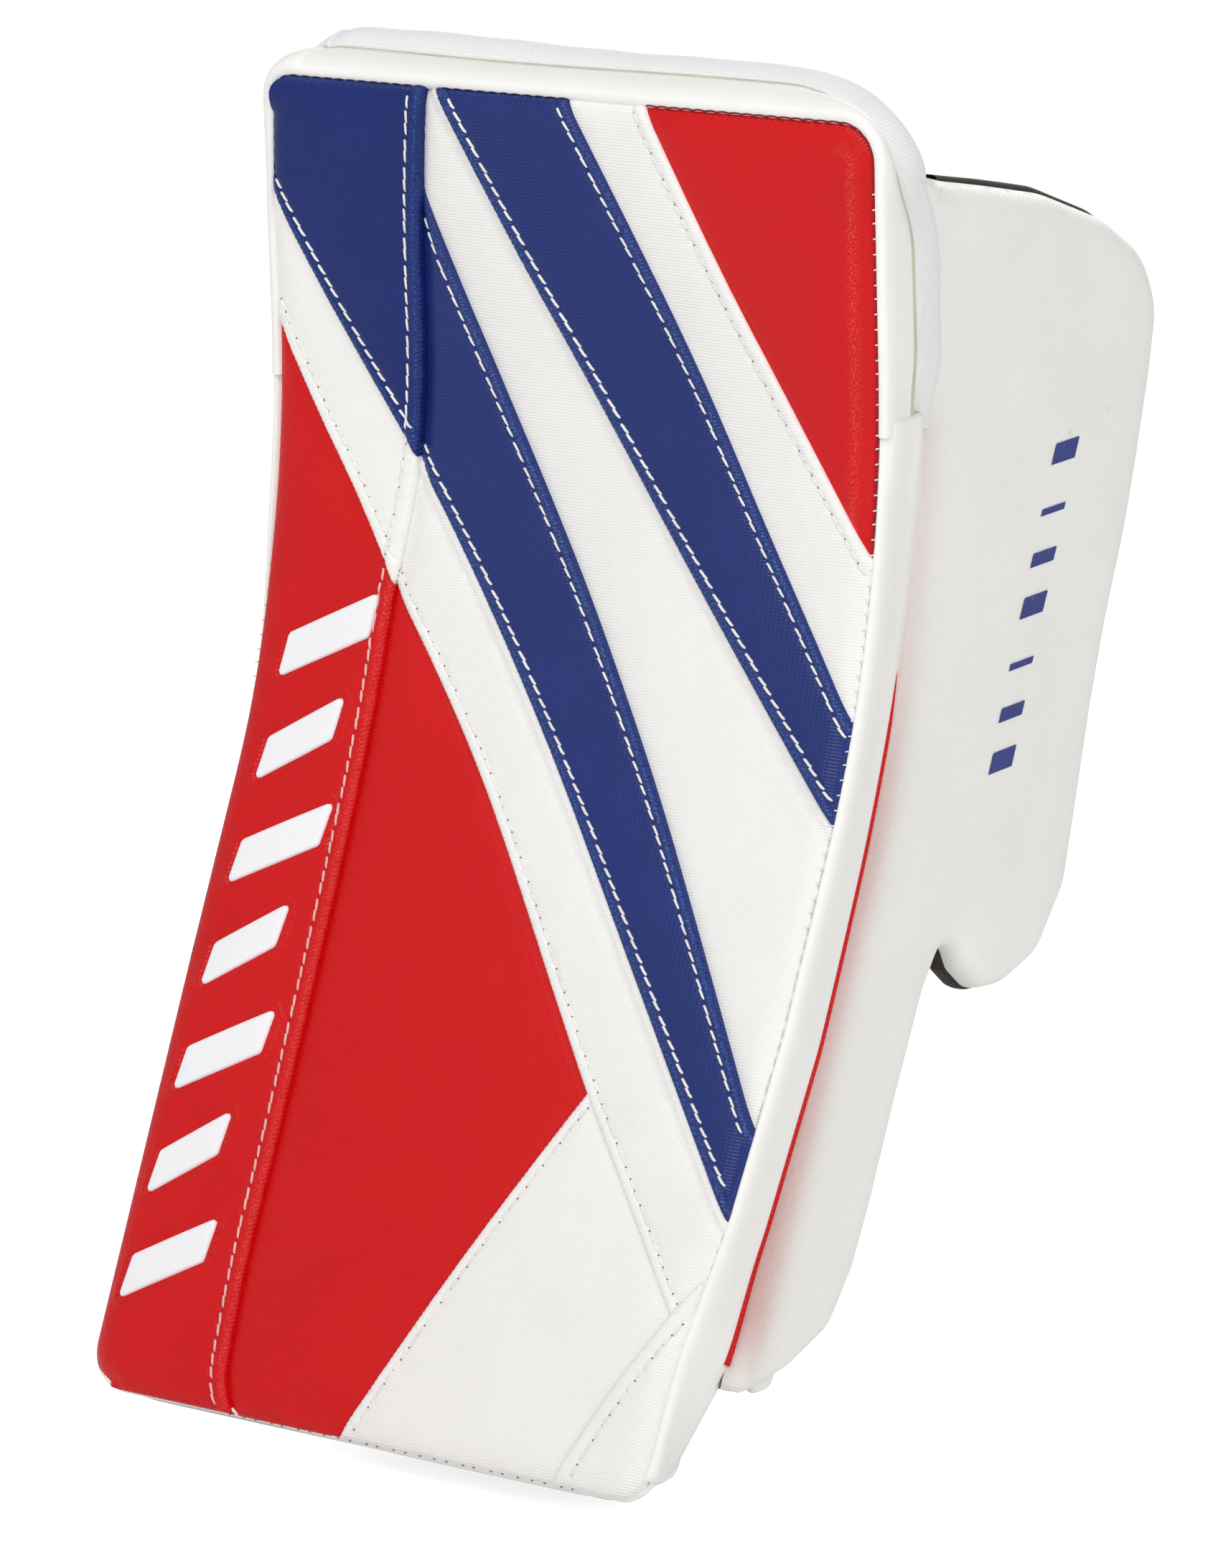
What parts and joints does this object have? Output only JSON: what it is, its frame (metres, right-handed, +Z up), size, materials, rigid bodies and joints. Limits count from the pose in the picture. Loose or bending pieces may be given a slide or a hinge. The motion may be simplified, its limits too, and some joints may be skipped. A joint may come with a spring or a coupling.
{
  "type": "goalie blocker",
  "caption": "Right-hand ice hockey goalie blocker: a padded board with a bent top, a deep sidewall, and a strapped glove behind it that holds the stick.",
  "frame": {"origin": "centre of the glove's mouth, where the hand goes in", "axes": "+Z up the forearm, fingers down; -Y out of the blocking face; +X towards the thumb and the sidewall"},
  "size_m": [0.203, 0.1705, 0.3781],
  "materials": {
    "foam": "closed-cell foam, matt",
    "stiffener": "smooth sheet",
    "nylon_black": "woven nylon",
    "leather_white": "synthetic leather with a fine rib",
    "leather_blue": "synthetic leather with a fine twill grain",
    "leather_red": "synthetic leather with a fine twill grain",
    "emblem_white": "smooth raised film",
    "binding_white": "smooth soft binding",
    "mesh_white": "fine knitted mesh",
    "pad_lining": "brushed knit lining over foam",
    "palm_leather": "soft synthetic leather",
    "grip_suede": "suede grip patch",
    "eyelet_metal": "rolled nickel",
    "lace_white": "waxed braid",
    "webbing_black": "woven webbing",
    "ring_plastic": "moulded nylon",
    "hook_loop": "hook and loop pile",
    "lining_dark": "dark woven lining",
    "print_blue": "flat printed film",
    "strap_white": "synthetic leather strap"
  },
  "bodies": {
    "board": {"front_foam": "foam", "stiffener_plate": "stiffener", "rear_foam": "foam", "board_back": "nylon_black", "skin_blue_corner": "leather_blue", "skin_white_strip": "leather_white", "skin_red_strip": "leather_red", "strip_bars": "emblem_white", "skin_white_centre": "leather_white", "stripe_long": "leather_blue", "stripe_short": "leather_blue", "skin_white_upper": "leather_white", "skin_red_corner": "leather_red", "skin_white_lower": "leather_white", "skin_red_main": "leather_red", "skin_white_bottom": "leather_white", "skin_corner_patch": "leather_white", "binding_top": "binding_white", "mesh_edge": "mesh_white", "wrap_right": "binding_white", "binding_low": "binding_white", "edge_band_low": "binding_white", "red_piping": "leather_red", "hinge_strip": "nylon_black", "hand_pad": "pad_lining", "cuff_pad": "pad_lining", "palm_panel": "palm_leather", "palm_patch": "grip_suede", "thumb_gusset": "palm_leather", "lace_flange": "palm_leather", "eyelets": "eyelet_metal", "palm_lace": "lace_white", "wrist_anchor": "webbing_black", "wrist_ring": "ring_plastic", "wrist_tab": "webbing_black", "wrist_loop_patch": "hook_loop", "cuff_anchor": "webbing_black", "cuff_ring": "ring_plastic", "cuff_tab": "webbing_black", "cuff_loop_patch": "hook_loop"},
    "sidewall": {"sidewall_foam": "foam", "sidewall_skin": "leather_white", "sidewall_lining": "lining_dark", "sidewall_bars": "print_blue", "sidewall_tab": "leather_white"},
    "index": {"index_stall": "palm_leather", "index_grip": "grip_suede"},
    "middle": {"middle_stall": "palm_leather", "middle_grip": "grip_suede"},
    "ring": {"ring_stall": "palm_leather", "ring_grip": "grip_suede"},
    "little": {"little_stall": "palm_leather", "little_grip": "grip_suede"},
    "thumb": {"thumb_stall": "palm_leather"},
    "wrist_strap": {"wrist_strap": "strap_white", "wrist_hook_patch": "hook_loop"},
    "cuff_strap": {"cuff_strap": "strap_white", "cuff_hook_patch": "hook_loop"}
  },
  "joints": [
    {"name": "sidewall_flex", "type": "hinge", "parent": "board", "child": "sidewall", "pos_m": [0.099, -0.0389, 0.02489], "axis": [0, 0.0602, 0.9982], "range_deg": [-8, 3], "stiffness_Nm_per_rad": 8},
    {"name": "index_curl", "type": "hinge", "parent": "board", "child": "index", "pos_m": [0.0355, -0.02272, -0.08507], "axis": [1, 0, 0], "range_deg": [-25, 12]},
    {"name": "middle_curl", "type": "hinge", "parent": "board", "child": "middle", "pos_m": [0.0115, -0.02272, -0.08507], "axis": [1, 0, 0], "range_deg": [-25, 12]},
    {"name": "ring_curl", "type": "hinge", "parent": "board", "child": "ring", "pos_m": [-0.0125, -0.02272, -0.08507], "axis": [1, 0, 0], "range_deg": [-25, 12]},
    {"name": "little_curl", "type": "hinge", "parent": "board", "child": "little", "pos_m": [-0.0355, -0.02272, -0.08507], "axis": [1, 0, 0], "range_deg": [-25, 12]},
    {"name": "thumb_curl", "type": "hinge", "parent": "board", "child": "thumb", "pos_m": [0.062, 0.00247, -0.02931], "axis": [1, 0, 0], "range_deg": [-10, 20]},
    {"name": "wrist_strap_open", "type": "hinge", "parent": "board", "child": "wrist_strap", "pos_m": [0.054, 0.02706, 0.03061], "axis": [0, -0.1096, -0.994], "range_deg": [0, 100]},
    {"name": "cuff_strap_open", "type": "hinge", "parent": "board", "child": "cuff_strap", "pos_m": [0.054, 0.04352, 0.1374], "axis": [0, 0.1718, -0.9851], "range_deg": [0, 100]}
  ]
}
